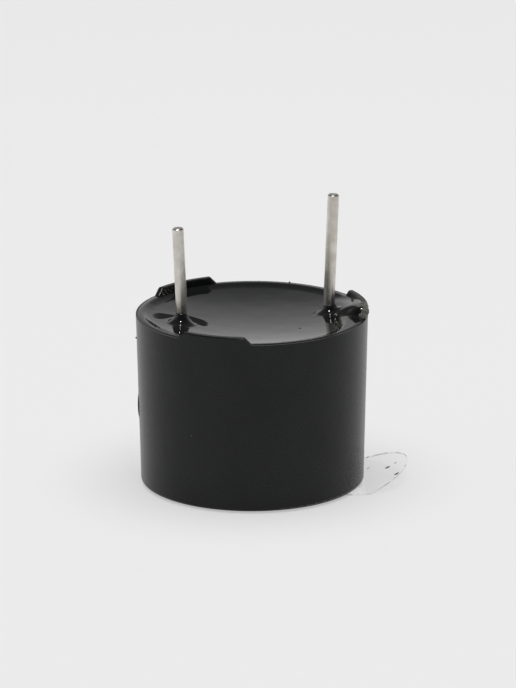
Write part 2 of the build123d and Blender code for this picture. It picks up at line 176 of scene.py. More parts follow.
@dataclass(frozen=True)
class Finish:
    """A surface finish: two close colours in a fine pattern, with its roughness and grain.

    Attributes:
        name: The material's name.
        colour: The main sRGB colour.
        mottle: The sRGB colour of its darker or lighter patches.
        patch: The patches' size.
        grain: The surface grain's size.
        grain_height: How proud the grain stands.
        smoothest: The lowest roughness.
        roughest: The highest roughness.
        metallic: 1 for a metal.
        ior: The index of refraction, which a metal keeps at the default.
        specular: The strength of the reflection, head on.
    """

    name: str
    colour: str
    mottle: str
    patch: float = 1.5
    grain: float = 0.12
    grain_height: float = 0.002
    smoothest: float = 0.4
    roughest: float = 0.55
    metallic: float = 0.0
    ior: float = 1.5
    specular: float = 0.5

    def start(self) -> tuple[bpy.types.Material, bpy.types.NodeTree]:
        """Makes the empty material.

        Returns:
            The material and its node tree.
        """
        material = bpy.data.materials.new(self.name)
        material.use_nodes = True
        material.node_tree.nodes.clear()
        return material, material.node_tree

    def place(self, tree: bpy.types.NodeTree) -> bpy.types.NodeSocket:
        """Gives the point in the buzzer's own frame, in millimetres.

        Args:
            tree: The material's node tree.

        Returns:
            The socket that carries the point.
        """
        where = add_node(tree, "TexCoord").outputs["Object"]
        settings = {"operation": "SCALE", "Scale": 1 / MM}
        return add_node(tree, "VectorMath", settings, {0: where}).outputs[0]

    def pattern(self, tree: bpy.types.NodeTree, place: bpy.types.NodeSocket) -> bpy.types.NodeSocket:
        """Gives the grain's height, from 0 to 1.

        Args:
            tree: The material's node tree.
            place: The point, in millimetres.

        Returns:
            The socket that carries the height.
        """
        settings = {"Scale": 1 / self.grain, "Detail": 4.0, "Roughness": 0.6}
        return add_node(tree, "TexNoise", settings, {"Vector": place}).outputs["Fac"]

    def build(self) -> bpy.types.Material:
        """Makes the material.

        Returns:
            The finished material.
        """
        material, tree = self.start()
        place = self.place(tree)
        grain = self.pattern(tree, place)
        patch = add_node(tree, "TexNoise", {"Scale": 1 / self.patch, "Detail": 3.0}, {"Vector": place})
        blend = add_node(tree, "MapRange", {"From Min": MOTTLE_NOISE[0], "From Max": MOTTLE_NOISE[1]},
                         {"Value": patch.outputs["Fac"]})
        tints = {"data_type": "RGBA", 6: linear(self.colour), 7: linear(self.mottle)}
        colour = add_node(tree, "Mix", tints, {0: blend.outputs[0]})
        rough = add_node(tree, "MapRange", {"To Min": self.smoothest, "To Max": self.roughest},
                         {"Value": grain})
        bump = add_node(tree, "Bump", {"Strength": 1.0, "Distance": self.grain_height * MM},
                        {"Height": grain})
        shader = add_node(tree, "BsdfPrincipled", self.constants(),
                          {"Base Color": colour.outputs[2], "Roughness": rough.outputs[0],
                           "Normal": bump.outputs[0]})
        add_node(tree, "OutputMaterial", {}, {"Surface": shader.outputs[0]})
        return material

    def constants(self) -> dict:
        """Gives the shader's own settings, which are the same all over the surface."""
        return {"Metallic": self.metallic, "IOR": self.ior, "Specular IOR Level": self.specular}


@dataclass(frozen=True)
class MouldedPolyester(Finish):
    """Black polyester (PBT), injection moulded in a fine-eroded tool: satin, with a soft rim of light."""

    name: str = "moulded_black_polyester"
    colour: str = "#1A1C1B"
    mottle: str = "#1F2120"
    patch: float = 2.6
    # The tool's spark texture is near 0.03 mm; it is drawn coarser, so that it shows.
    grain: float = 0.07
    grain_height: float = 0.0016
    smoothest: float = 0.22
    roughest: float = 0.34
    ior: float = 1.5
    specular: float = 0.21


@dataclass(frozen=True)
class CastResin(Finish):
    """Black epoxy, poured and cured: a wet-looking skin with faint dust, as nothing touched it."""

    name: str = "cast_black_epoxy"
    colour: str = "#191A1A"
    mottle: str = "#1E1F1F"
    patch: float = 1.8
    grain: float = 0.35
    grain_height: float = 0.0006
    smoothest: float = 0.04
    roughest: float = 0.08
    ior: float = 1.52


@dataclass(frozen=True)
class SpiltResin(CastResin):
    """The same epoxy where it ran over the foot, pitted by bubbles; its light grey is partly dust and
    partly painted light against the shade it sits in.
    """

    name: str = "spilt_epoxy_dust_and_painted_light"
    # Painted light: these greys are lifted above the cast resin's, to show the spill out of its shade; the
    # light mottle also stands for dust.
    colour: str = "#3E3F3A"
    mottle: str = "#74756B"
    patch: float = 0.2
    grain: float = 0.09
    grain_height: float = 0.02
    smoothest: float = 0.32
    roughest: float = 0.55


@dataclass(frozen=True)
class TinnedWire(Finish):
    """Drawn steel wire, hot-dip tinned: a soft grey metal with streaks along the wire.

    Attributes:
        streak: How many times longer than wide its streaks are.
    """

    name: str = "tinned_wire"
    colour: str = "#E2DFD8"
    mottle: str = "#C7C2B9"
    patch: float = 0.9
    grain: float = 0.05
    grain_height: float = 0.0022
    smoothest: float = 0.26
    roughest: float = 0.42
    metallic: float = 1.0
    streak: float = 14.0

    def pattern(self, tree: bpy.types.NodeTree, place: bpy.types.NodeSocket) -> bpy.types.NodeSocket:
        """Gives the height of streaks that run along the wire.

        Args:
            tree: The material's node tree.
            place: The point, in millimetres.

        Returns:
            The socket that carries the height.
        """
        drawn = add_node(tree, "Mapping", {"Scale": (1.0, 1.0, 1 / self.streak)}, {"Vector": place})
        return super().pattern(tree, drawn.outputs[0])


@dataclass(frozen=True)
class WoundWire(Finish):
    """Enamelled copper wire, wound in layers: glossy turns with a dark gap between them."""

    name: str = "enamelled_copper"
    colour: str = "#B5623A"
    mottle: str = "#9A4C2B"
    # One turn of the 0.1 mm wire.
    grain: float = 0.1
    grain_height: float = 0.04
    smoothest: float = 0.22
    roughest: float = 0.34
    metallic: float = 1.0

    def pattern(self, tree: bpy.types.NodeTree, place: bpy.types.NodeSocket) -> bpy.types.NodeSocket:
        """Gives the height of the turns, one above the other.

        Args:
            tree: The material's node tree.
            place: The point, in millimetres.

        Returns:
            The socket that carries the height.
        """
        settings = {"wave_type": "BANDS", "bands_direction": "Z", "wave_profile": "SIN",
                    "Scale": WAVE_PERIOD / self.grain, "Distortion": 0.15}
        return add_node(tree, "TexWave", settings, {"Vector": place}).outputs["Fac"]


@dataclass(frozen=True)
class WovenBoard(Finish):
    """Glass cloth in epoxy, with a solder mask over it: a green skin with a faint weave."""

    name: str = "glass_epoxy_board"
    colour: str = "#1F5A38"
    mottle: str = "#2A6B45"
    # The cloth's threads lie 0.4 mm apart.
    grain: float = 0.4
    grain_height: float = 0.006
    smoothest: float = 0.25
    roughest: float = 0.38
    ior: float = 1.55

    def pattern(self, tree: bpy.types.NodeTree, place: bpy.types.NodeSocket) -> bpy.types.NodeSocket:
        """Gives the height of the cloth's two sets of threads.

        Args:
            tree: The material's node tree.
            place: The point, in millimetres.

        Returns:
            The socket that carries the height.
        """
        heights = []
        for direction in ("X", "Y"):
            settings = {"wave_type": "BANDS", "bands_direction": direction,
                        "Scale": WAVE_PERIOD / self.grain}
            heights.append(add_node(tree, "TexWave", settings, {"Vector": place}).outputs["Fac"])
        return add_node(tree, "Math", {"operation": "MULTIPLY"}, dict(enumerate(heights))).outputs[0]


@dataclass(frozen=True)
class SealFilm(Finish):
    """Clear polyester film, cast and die cut: nearly unseen on its faces, with painted grey shade on its
    cut edge.

    Attributes:
        painted_edge_shade: The grey painted on the cut edge as shade; the film itself is clear there.
        veil: How much light a face keeps back.
        edge_veil: How much light the cut edge keeps back, so that its painted shade shows.
        shadow_veil: How much more a face keeps back of the light that falls through it.
        edge_tilts: The upward part of the normal where the cut edge's painted shade begins to show, and
            shows fully.
        edge_shade_breaks: How many breaks the painted edge shade has in a millimetre.
        edge_shade_break_depths: The noise at which a break in the painted edge shade is deepest, and at
            which there is none.
        edge_shade_least: How much of the painted edge shade still shows in a break.
    """

    name: str = "clear_polyester_film"
    colour: str = "#FBFBF9"
    mottle: str = "#F1F2EE"
    patch: float = 0.8
    grain: float = 0.5
    grain_height: float = 0.004
    smoothest: float = 0.05
    roughest: float = 0.12
    ior: float = 1.6
    painted_edge_shade: str = "#979893"
    veil: float = 0.065
    edge_veil: float = 0.46
    shadow_veil: float = 0.08
    edge_tilts: tuple[float, float] = (0.6, 0.3)
    edge_shade_breaks: float = 1.3
    edge_shade_break_depths: tuple[float, float] = (0.43, 0.58)
    edge_shade_least: float = 0.1

    def build(self) -> bpy.types.Material:
        """Makes the film, which lets light through to what lies under it.

        Returns:
            The finished material.
        """
        material = super().build()
        tree = material.node_tree
        shader = next(n for n in tree.nodes if n.type == "BSDF_PRINCIPLED")
        colour = shader.inputs["Base Color"].links[0].from_socket
        facing = add_node(tree, "NewGeometry").outputs["True Normal"]
        upwards = add_node(tree, "SeparateXYZ", {}, {0: facing}).outputs["Z"]
        upright = add_node(tree, "Math", {"operation": "ABSOLUTE"}, {0: upwards}).outputs[0]
        tilts = {"From Min": self.edge_tilts[0], "From Max": self.edge_tilts[1]}
        edge = add_node(tree, "MapRange", tilts, {"Value": upright}).outputs[0]
        edge_shade_breaks = add_node(tree, "TexNoise", {"Scale": self.edge_shade_breaks, "Detail": 2.0},
                         {"Vector": self.place(tree)})
        deepest, none = self.edge_shade_break_depths
        depths = {"From Min": deepest, "From Max": none, "To Min": self.edge_shade_least}
        kept = add_node(tree, "MapRange", depths, {"Value": edge_shade_breaks.outputs["Fac"]}).outputs[0]
        seen = add_node(tree, "Math", {"operation": "MULTIPLY"}, {0: edge, 1: kept}).outputs[0]
        # Painted shade: the cut edge's upright faces, found by their tilt, are tinted grey and made more
        # opaque, with breaks from noise; the clear film has no such grey.
        tint = add_node(tree, "Mix", {"data_type": "RGBA", 7: linear(self.painted_edge_shade)}, {0: edge, 6: colour})
        tree.links.new(tint.outputs[2], shader.inputs["Base Color"])
        veil = add_node(tree, "MapRange", {"To Min": self.veil, "To Max": self.edge_veil}, {"Value": seen})
        falling = add_node(tree, "LightPath").outputs["Is Shadow Ray"]
        kept_back = add_node(tree, "Math", {"operation": "MULTIPLY_ADD", 1: self.shadow_veil},
                             {0: falling, 2: veil.outputs[0]})
        tree.links.new(kept_back.outputs[0], shader.inputs["Alpha"])
        return material


@dataclass(frozen=True)
class Dust(Finish):
    """Flakes of plastic and cured resin that stuck: matt and grey."""

    name: str = "dust_flakes"
    colour: str = "#6C6C66"
    mottle: str = "#4C4D48"
    patch: float = 0.1
    grain: float = 0.04
    smoothest: float = 0.6
    roughest: float = 0.8


@dataclass(frozen=True)
class StudioCard(Finish):
    """Uncoated card, white: matt, with a fibre grain too fine to see.

    Attributes:
        backdrop: The even white that the camera, metal and film see in it.
        evenness: How far that white hides the card's own shading.
    """

    name: str = "studio_card"
    colour: str = "#ECECEC"
    mottle: str = "#EBEBEB"
    patch: float = 300.0
    grain: float = 0.3
    grain_height: float = 0.0
    smoothest: float = 0.85
    roughest: float = 0.95
    specular: float = 0.0
    backdrop: str = "#FFFFFF"
    evenness: float = 0.455

    def build(self) -> bpy.types.Material:
        """Makes the card, whose shadows show, but faintly.

        Returns:
            The finished material.
        """
        material = super().build()
        tree = material.node_tree
        shader = next(n for n in tree.nodes if n.type == "BSDF_PRINCIPLED")
        output = next(n for n in tree.nodes if n.type == "OUTPUT_MATERIAL")
        rays = add_node(tree, "LightPath").outputs
        seen = rays["Is Camera Ray"]
        for other in ("Is Glossy Ray", "Is Transmission Ray"):
            seen = add_node(tree, "Math", {"operation": "MAXIMUM"}, {0: seen, 1: rays[other]}).outputs[0]
        share = add_node(tree, "Math", {"operation": "MULTIPLY", 1: self.evenness}, {0: seen})
        white = add_node(tree, "Emission", {"Color": linear(self.backdrop), "Strength": 1.0})
        links = {0: share.outputs[0], 1: shader.outputs[0], 2: white.outputs[0]}
        both = add_node(tree, "MixShader", {}, links)
        tree.links.new(both.outputs[0], output.inputs["Surface"])
        return material


# Cold-rolled iron strip: grey, with rolling grain.
ROLLED_IRON = Finish("rolled_iron", "#9A9A98", "#868684", grain=0.06, smoothest=0.3, roughest=0.45,
                     metallic=1.0)
# Iron plated with zinc: bluish grey, cloudy where the bath left crystals.
ZINC_PLATED_IRON = Finish("zinc_plated_iron", "#B4B8BC", "#9DA2A8", patch=0.7, grain=0.09, smoothest=0.25,
                          roughest=0.4, metallic=1.0)
# Sintered ferrite: a hard ceramic, dark charcoal, with pressing dust in its pores.
SINTERED_FERRITE = Finish("sintered_ferrite", "#2C2B2B", "#3A3938", patch=0.4, grain=0.05,
                          grain_height=0.006, smoothest=0.55, roughest=0.75)
# Glass-filled nylon, moulded: milky, with flow patches.
MOULDED_NYLON = Finish("moulded_nylon", "#D9D4C6", "#CCC6B6", grain=0.08, smoothest=0.4, roughest=0.5,
                       ior=1.53)
# Black nylon, moulded: satin.
MOULDED_BLACK_NYLON = Finish("moulded_black_nylon", "#1D1E1E", "#252626", grain=0.08, smoothest=0.4,
                             roughest=0.55, ior=1.53)
# Transfer-moulded epoxy package: matt black with filler grain.
PACKAGE_EPOXY = Finish("package_epoxy", "#1E1F20", "#29292A", grain=0.04, grain_height=0.004,
                       smoothest=0.5, roughest=0.65, ior=1.55)
# Alumina slab with a glassy overcoat: black and glossy.
GLAZED_CERAMIC = Finish("glazed_ceramic", "#131416", "#1C1D20", grain=0.15, smoothest=0.12, roughest=0.2,
                        ior=1.6)
# Matt tin, electroplated: pale grey and soft.
MATT_TIN = Finish("matt_tin", "#C9C9C5", "#B5B5B0", patch=0.3, grain=0.04, smoothest=0.35, roughest=0.5,
                  metallic=1.0)
# Tin solder, frozen: bright, wavy and slightly grainy.
SOLDER = Finish("solder", "#CFCFCC", "#B9B9B5", patch=0.25, grain=0.12, grain_height=0.006, smoothest=0.15,
                roughest=0.3, metallic=1.0)


@dataclass
class PhotoCamera:
    """The camera, where the photograph was taken from.

    Attributes:
        position: Where it stands.
        tilt: Its turn about X, from looking straight down.
        roll: Its turn about its own line of sight.
        pan: Its turn about Z.
        focal_length: Its lens.
        sensor: Its sensor's width.
        nearest: How near it still sees.
        furthest: How far it sees.
    """

    position: Point3 = (-67.449, -270.522, 90.477)
    tilt: float = 73.4204
    roll: float = 0.1434
    pan: float = -14.1072
    focal_length: float = 288.64
    sensor: float = 36.0
    nearest: float = 10.0
    furthest: float = 10000.0

    def build(self) -> bpy.types.Object:
        """Makes the scene's camera.

        Returns:
            The camera.
        """
        data = bpy.data.cameras.new("camera")
        data.lens = self.focal_length
        data.sensor_width = self.sensor
        data.clip_start = self.nearest * MM
        data.clip_end = self.furthest * MM
        camera = bpy.data.objects.new("camera", data)
        camera.location = Vector(self.position) * MM
        camera.rotation_euler = Euler([math.radians(a) for a in (self.tilt, self.roll, self.pan)])
        bpy.context.scene.collection.objects.link(camera)
        bpy.context.scene.camera = camera
        return camera


@dataclass(frozen=True)
class Lamp:
    """One round lamp that looks at the buzzer.

    Attributes:
        name: Its name.
        place: Where it hangs.
        width: Its diameter.
        watts: Its power.
        use: What it is there for.
    """

    name: str
    place: Point3
    width: float
    watts: float
    use: LampUse

    def build(self) -> bpy.types.Object:
        """Makes the lamp.

        Returns:
            The lamp.
        """
        data = bpy.data.lights.new(self.name, "AREA")
        data.shape = "DISK"
        data.size = self.width * MM
        data.energy = self.watts
        lamp = bpy.data.objects.new(self.name, data)
        lamp.location = Vector(self.place) * MM
        lamp.rotation_euler = (-Vector(self.place)).to_track_quat("-Z", "Y").to_euler()
        lamp.visible_glossy = self.use is LampUse.GLINT
        lamp.visible_diffuse = self.use is LampUse.LIGHT
        bpy.context.scene.collection.objects.link(lamp)
        LOG.info("%s: %s", self.name, self.use.value)
        return lamp


@dataclass
class Studio:
    """The pale table and the soft light: a bright band low down behind, a dim ceiling and two lamps.

    Attributes:
        table_size: The table's width.
        band: The world's grey by the sine of the height above the horizon.
        front_dim: How bright the world is in front of the buzzer, where the camera stands, as a share.
        front_fade: How far back a direction points where the world is dimmest, and where it is full.
        lamps: The lamps.
    """

    table_size: float = 1200.0
    band: tuple[tuple[float, float], ...] = (
        (0.0, 0.74), (0.22, 0.54), (0.31, 0.47), (0.38, 0.4), (0.44, 0.26), (0.54, 0.15), (0.66, 0.11),
        (1.0, 0.1))
    front_dim: float = 0.16
    front_fade: tuple[float, float] = (-0.5, 0.1)
    lamps: tuple[Lamp, ...] = (
        Lamp("lamp_1", (0.0, -20.0, 500.0), 600.0, 2.4, LampUse.LIGHT),
        Lamp("lamp_2", (-100.0, -210.0, 450.0), 64.0, 1.1, LampUse.GLINT))

    def build(self) -> None:
        """Makes the table, the world and the lamps."""
        self.build_table()
        self.build_world()
        for lamp in self.lamps:
            lamp.build()

    def build_table(self) -> None:
        """Makes the table top, whose upper face is the plane that the buzzer stands on."""
        slab = bmesh.new()
        bmesh.ops.create_grid(slab, x_segments=8, y_segments=8, size=self.table_size / 2 * MM)
        mesh = bpy.data.meshes.new("table")
        slab.to_mesh(mesh)
        slab.free()
        mesh.materials.append(StudioCard().build())
        table = bpy.data.objects.new("table", mesh)
        bpy.context.scene.collection.objects.link(table)

    def build_world(self) -> None:
        """Makes the world, whose grey depends on the height above the horizon, and is dimmer in front."""
        world = bpy.data.worlds.new("studio")
        world.use_nodes = True
        tree = world.node_tree
        tree.nodes.clear()
        way = add_node(tree, "TexCoord").outputs["Generated"]
        parts = add_node(tree, "SeparateXYZ", {}, {0: way}).outputs
        ramp = add_node(tree, "ValToRGB", {}, {0: parts["Z"]})
        stops = ramp.color_ramp.elements
        while len(stops) < len(self.band):
            stops.new(0.5)
        for stop, (at, grey) in zip(stops, self.band):
            stop.position = at
            stop.color = (grey, grey, grey, 1.0)
        fade = {"From Min": self.front_fade[0], "From Max": self.front_fade[1], "To Min": self.front_dim}
        share = add_node(tree, "MapRange", fade, {"Value": parts["Y"]})
        light = add_node(tree, "Background", {}, {"Color": ramp.outputs[0], "Strength": share.outputs[0]})
        add_node(tree, "OutputWorld", {}, {"Surface": light.outputs[0]})
        bpy.context.scene.world = world


@dataclass
class Dressing:
    """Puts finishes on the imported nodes, which keep their shapes."""

    nodes: dict[str, bpy.types.Object]

    def dress(self, finish: Finish, *names: str) -> None:
        """Gives nodes a finish.

        Args:
            finish: The finish.
            names: The nodes.
        """
        material = finish.build()
        for name in names:
            mesh = self.nodes[name].data
            mesh.materials.clear()
            mesh.materials.append(material)
            LOG.info("%s: %s", name, finish.name)


@dataclass
class Housing(Dressing):
    """The moulded cup."""

    def build(self) -> None:
        """Dresses the cup."""
        self.dress(MouldedPolyester(), "housing")


@dataclass(frozen=True)
class Speck:
    """One flake of dust on the tab: its distances out and across, its length and its turn."""

    out: float
    across: float
    length: float
    turn: float


@dataclass
class Seal(Dressing):
    """The clear peel-off seal, with the dust that its tab has picked up.

    Attributes:
        tab_angle: Where the tab is, about the buzzer's axis.
        root_radius: Where the tab leaves the cup.
        bend_radius: The radius of its bend, at its lower face.
        incline: How steep it is beyond the bend.
        thickness: The film's thickness.
        flake: A flake's outline, as shares of half its length.
        flake_thickness: A flake's thickness, as a share of its length.
        sink: How deep a flake sits in the film's face.
        specks: The flakes; across is to the left of the tab's middle line, seen from the cup.
    """

    tab_angle: float = -11.5
    root_radius: float = 5.905
    bend_radius: float = 1.0
    incline: float = 24.0
    thickness: float = 0.08
    flake: tuple[Point2, ...] = (
        (1.0, 0.0), (0.5, 0.5), (-0.4, 0.55), (-1.0, 0.1), (-0.5, -0.5), (0.6, -0.45))
    flake_thickness: float = 0.15
    sink: float = 0.005
    specks: tuple[Speck, ...] = (
        Speck(0.32, 1.07, 0.13, 20.0), Speck(1.27, -0.18, 0.24, 8.0), Speck(1.70, 0.0, 0.13, 15.0),
        Speck(1.64, -1.80, 0.24, 15.0), Speck(0.42, 2.84, 0.14, 0.0), Speck(1.9, 1.6, 0.08, 140.0),
        Speck(2.28, 0.4, 0.08, 100.0), Speck(2.13, -1.12, 0.1, 60.0))

    def build(self) -> None:
        """Dresses the film and scatters its dust."""
        self.dress(SealFilm(), "seal_film")
        verts: list[Point3] = []
        faces: list[tuple[int, ...]] = []
        for speck in self.specks:
            self.add_speck(verts, faces, speck)
        piece("seal_dust", verts, faces, Shading.FACETED, Dust().build())

    def height(self, out: float) -> float:
        """Gives the height of the tab's upper face.

        Args:
            out: The distance out from the cup.

        Returns:
            The height above the table.
        """
        turn = math.radians(self.incline)
        inner = self.bend_radius - self.thickness
        bent = min(max(out, 0.0), inner * math.sin(turn))
        straight = max(out, 0.0) - bent
        return self.bend_radius - math.sqrt(inner ** 2 - bent ** 2) + straight * math.tan(turn)

    def add_speck(self, verts: list[Point3], faces: list[tuple[int, ...]], speck: Speck) -> None:
        """Adds one flake, which lies on the tab.

        Args:
            verts: The points so far.
            faces: The faces so far.
            speck: The flake.
        """
        along = Vector(polar(1.0, self.tab_angle)).to_3d()
        side = Vector((-along.y, along.x, 0.0))
        spin = math.radians(speck.turn)
        base = len(verts)
        for top in (0.0, self.flake_thickness * speck.length):
            for a, b in self.flake:
                u = speck.out + (a * math.cos(spin) - b * math.sin(spin)) * speck.length / 2
                v = speck.across + (a * math.sin(spin) + b * math.cos(spin)) * speck.length / 2
                spot = along * (self.root_radius + u) + side * v
                verts.append((spot.x, spot.y, self.height(u) - self.sink + top))
        count = len(self.flake)
        faces.append(tuple(base + i for i in reversed(range(count))))
        faces.append(tuple(base + count + i for i in range(count)))
        for i in range(count):
            j = (i + 1) % count
            faces.append((base + i, base + j, base + count + j, base + count + i))


@dataclass(frozen=True)
class Dimple:
    """A shallow pan where a bubble burst: it slopes down from its back edge and ends at a lip.

    Attributes:
        outline: Points round its outline.
        slope: How steep its floor is.
        lip: How wide the lip at its front is.
    """

    outline: tuple[Point2, ...]
    slope: float
    lip: float = 0.14

    def rounded(self, parts: int = 6) -> list[Point2]:
        """Gives the outline as a smooth closed curve through its points.

        Args:
            parts: How many steps the curve takes from one point to the next.

        Returns:
            The points of the curve.
        """
        count = len(self.outline)
        curve = []
        for i in range(count):
            a, b, c, d = (Vector(self.outline[(i + k) % count]) for k in (-1, 0, 1, 2))
            for step in range(parts):
                t = step / parts
                spot = 0.5 * (2 * b + (c - a) * t + (2 * a - 5 * b + 4 * c - d) * t ** 2
                              + (3 * b - a - 3 * c + d) * t ** 3)
                curve.append((spot.x, spot.y))
        return curve

    def depth(self, curve: list[Point2], x: float, y: float) -> float:
        """Gives how far the surface is down at a point.

        Args:
            curve: The rounded outline.
            x: The point's X.
            y: The point's Y.

        Returns:
            The depth, which is 0 outside the outline.
        """
        crossings = []
        for (ax, ay), (bx, by) in zip(curve, curve[1:] + curve[:1]):
            if (ax > x) != (bx > x):
                crossings.append(ay + (by - ay) * (x - ax) / (bx - ax))
        if not crossings or not min(crossings) < y < max(crossings):
            return 0.0
        return self.slope * (max(crossings) - y) * smooth_step(0.0, self.lip, y - min(crossings))


@dataclass(frozen=True)
class Meniscus:
    """The resin's climb round one pin.

    Attributes:
        place: The pin's place.
        radius: How far out it starts.
        climb: How high it goes.
        steepest: How near the pin the climb still steepens, as a share of the way.
    """

    place: Point2
    radius: float
    climb: float
    steepest: float = 0.985

    def away(self, x: float, y: float) -> float:
        """Gives a point's distance from the pin's axis."""
        return math.hypot(x - self.place[0], y - self.place[1])

    def rise(self, x: float, y: float, pin_radius: float) -> float:
        """Gives how far the surface is up at a point: a quarter of an ellipse, steep at the pin.

        Args:
            x: The point's X.
            y: The point's Y.
            pin_radius: The pin's radius.

        Returns:
            The rise.
        """
        near = (self.radius - self.away(x, y)) / (self.radius - pin_radius)
        near = min(max(near, 0.0), self.steepest)
        return self.climb * (1 - math.sqrt(1 - near ** 2))


@dataclass
class PottedTop:
    """The poured resin, with its run up the nearest foot. It is one closed mesh, from wall to wall.

    Attributes:
        rim_z: The height of the cup's rim.
        board_z: The height of the circuit board's top.
        bore_radius: The cup's bore.
        foot_inner_radius: The inner faces of the standoff feet.
        brim_radius: How far out it wets the rim's top, between the feet.
        brim_height: How high it stands on the rim's top.
        brim_slope: How much it rises outwards there.
        brim_edge: How wide the brim's thin edge is.
        foot_angles: Where the feet are.
        foot_spread: Half of a foot's width, as an angle.
        blend: How wide a change from one edge to another is, as an angle.
        bite: How far the mesh goes into the cup.
        upturn_width: How wide its turned-up edge is.
        upturn_climb: How high the edge turns up.
        upturn_even: How much of that climb is even.
        upturn_power: How late the rest of the climb comes.
        sharp_angles: Where the edge turns up sharply, so that the dish seems to reach the rim.
        sharp_power: How late the climb comes there.
        dish_depth: How deep its dish is.
        pin_radius: The pins' radius.
        menisci: Its climbs round the long pin and the short one.
        run_angles: Where the run begins behind, is highest, and has ended in front.
        run_height: How high the run is at its highest.
        run_power: How early the run rises behind.
        run_radii: Where the run begins, from the pin outwards, and where it is at its full height.
        run_front: The run's front edge: its Y at the first of these radii, and its slope.
        run_front_width: How wide the fall in front of the run is.
        bank_turn: The direction of the bank in front of the long pin, from straight ahead.
        bank_line: The bank's upper edge: distances in front of the pin and to its right.
        bank_foot: How far to the right of the pin the bank's foot is.
        bank_start: Where the bank begins in front of the pin, and is full.
        bank_end: Where it starts to fade, and has ended.
        bank_least_width: The least width of its slope.
        ripple: How wavy the surface is.
        waves: The ripple's waves: each one's frequency, share and place in the noise.
        dimples: Its pans, where bubbles burst.
        edge_count: How many points its edge has.
        insets: How far in the rings of points beside the edge are.
        rings: How many rings of points a meniscus has.
        spokes: How many points each of those rings has.
        ring_power: How much closer together the rings are near the pin.
        grid: The finest spacing of the points between.
        grid_shift: The grid's shift, which keeps its points off the others.
        grid_inset: How far inside the edge the grid begins.
        ring_overlap: How far into a meniscus the grid reaches, as a share of its radius.
        fine_reach: How near a dimple's outline the grid is finest.
        run_least: How high the run is where the grid is finest.
        pin_reach: How near a pin the grid is no coarser than two steps.
        rim_reach: Beyond what radius the grid is no coarser than two steps.
    """

    rim_z: float = 9.19
    board_z: float = 7.23
    bore_radius: float = 5.72
    foot_inner_radius: float = 5.77
    brim_radius: float = 6.07
    brim_height: float = 0.025
    brim_slope: float = 0.05
    brim_edge: float = 0.2
    foot_angles: tuple[float, ...] = (-1.0, 114.0, 236.5)
    foot_spread: float = 20.5
    blend: float = 3.0
    bite: float = 0.01
    upturn_width: float = 0.5
    upturn_climb: float = 0.16
    upturn_even: float = 0.45
    upturn_power: float = 2.2
    sharp_angles: Point2 = (195.0, 238.0)
    sharp_power: float = 9
    dish_depth: float = 0.34
    pin_radius: float = 0.3
    menisci: tuple[Meniscus, ...] = (
        Meniscus((4.2, 0.0), 0.78, 0.52),
        Meniscus((-3.8, 0.0), 0.88, 0.7))
    run_angles: Point3 = (22.0, -17.0, -24.0)
    run_height: float = 0.46
    run_power: float = 0.8
    run_radii: Point2 = (4.35, 5.45)
    run_front: Point2 = (-0.1, -1.45)
    run_front_width: float = 0.9
    bank_turn: float = -14.1072
    bank_line: tuple[Point2, ...] = (
        (0.3, 0.34), (0.6, 0.4), (1.1, 0.72), (1.66, 0.96), (2.4, 0.93), (3.6, 0.76), (4.3, 0.54),
        (5.0, 0.3))
    bank_foot: float = 0.26
    bank_start: Point2 = (0.3, 0.8)
    bank_end: Point2 = (4.4, 5.0)
    bank_least_width: float = 0.05
    ripple: float = 0.004
    waves: tuple[Point3, ...] = ((0.9, 1.0, 3.7), (2.1, 0.5, 9.1))
    dimples: tuple[Dimple, ...] = (
        Dimple(((-5.07, 1.34), (-4.68, 1.72), (-4.26, 1.65), (-3.8, 1.36), (-4.15, 1.08), (-4.81, 0.69),
                (-5.04, 0.85)), 0.22),
        Dimple(((-3.18, 1.43), (-2.74, 0.99), (-2.44, 0.43), (-2.43, -0.16), (-2.65, -0.54), (-2.89, -0.32),
                (-3.07, 0.3), (-3.14, 0.9)), 0.2),
        Dimple(((-5.57, 0.3), (-5.36, -0.35), (-5.2, -1.36), (-5.4, -1.1), (-5.56, -0.45)), 0.2),
        Dimple(((3.19, -0.1), (3.6, 0.5), (4.04, 0.9), (3.9, 0.45), (3.5, -0.02)), 0.07, 0.1),
        Dimple(((1.9, -2.28), (2.02, -2.16), (2.14, -2.28), (2.02, -2.38)), 0.2, 0.08))
    edge_count: int = 480
    insets: tuple[float, ...] = (0.025, 0.06, 0.11, 0.17, 0.24)
    rings: int = 16
    spokes: int = 48
    ring_power: float = 0.8
    grid: float = 0.045
    grid_shift: Point2 = (0.37, 0.41)
    grid_inset: float = 0.27
    ring_overlap: float = 0.97
    fine_reach: float = 0.45
    run_least: float = 0.002
    pin_reach: float = 1.5
    rim_reach: float = 4.5

    def edge_radius(self, angle: float) -> float:
        """Gives the radius of the resin's edge: on the rim, or a little inside a foot's inner face.

        Args:
            angle: The angle about the axis.

        Returns:
            The radius.
        """
        foot = 0.0
        for middle in self.foot_angles:
            away = abs((angle - middle + 180) % 360 - 180)
            foot = max(foot, 1 - smooth_step(self.foot_spread - self.blend, self.foot_spread, away))
        return self.brim_radius + (self.foot_inner_radius + 2 * self.bite - self.brim_radius) * foot

    def run(self, x: float, y: float) -> float:
        """Gives how high the run stands on the dish: it slopes down behind, and falls in front.

        Args:
            x: The point's X.
            y: The point's Y.

        Returns:
            The run's own height there.
        """
        radius = math.hypot(x, y)
        turn = math.degrees(math.atan2(y, x))
        back, top, front = self.run_angles
        along = smooth_step(back, top, turn) ** self.run_power
        along *= smooth_step(front, (front + top) / 2, turn)
        start, full = self.run_radii
        edge_y = self.run_front[0] + self.run_front[1] * (radius - start)
        fall = smooth_step(edge_y - self.run_front_width, edge_y, y)
        return self.run_height * along * smooth_step(start, full, radius) * fall

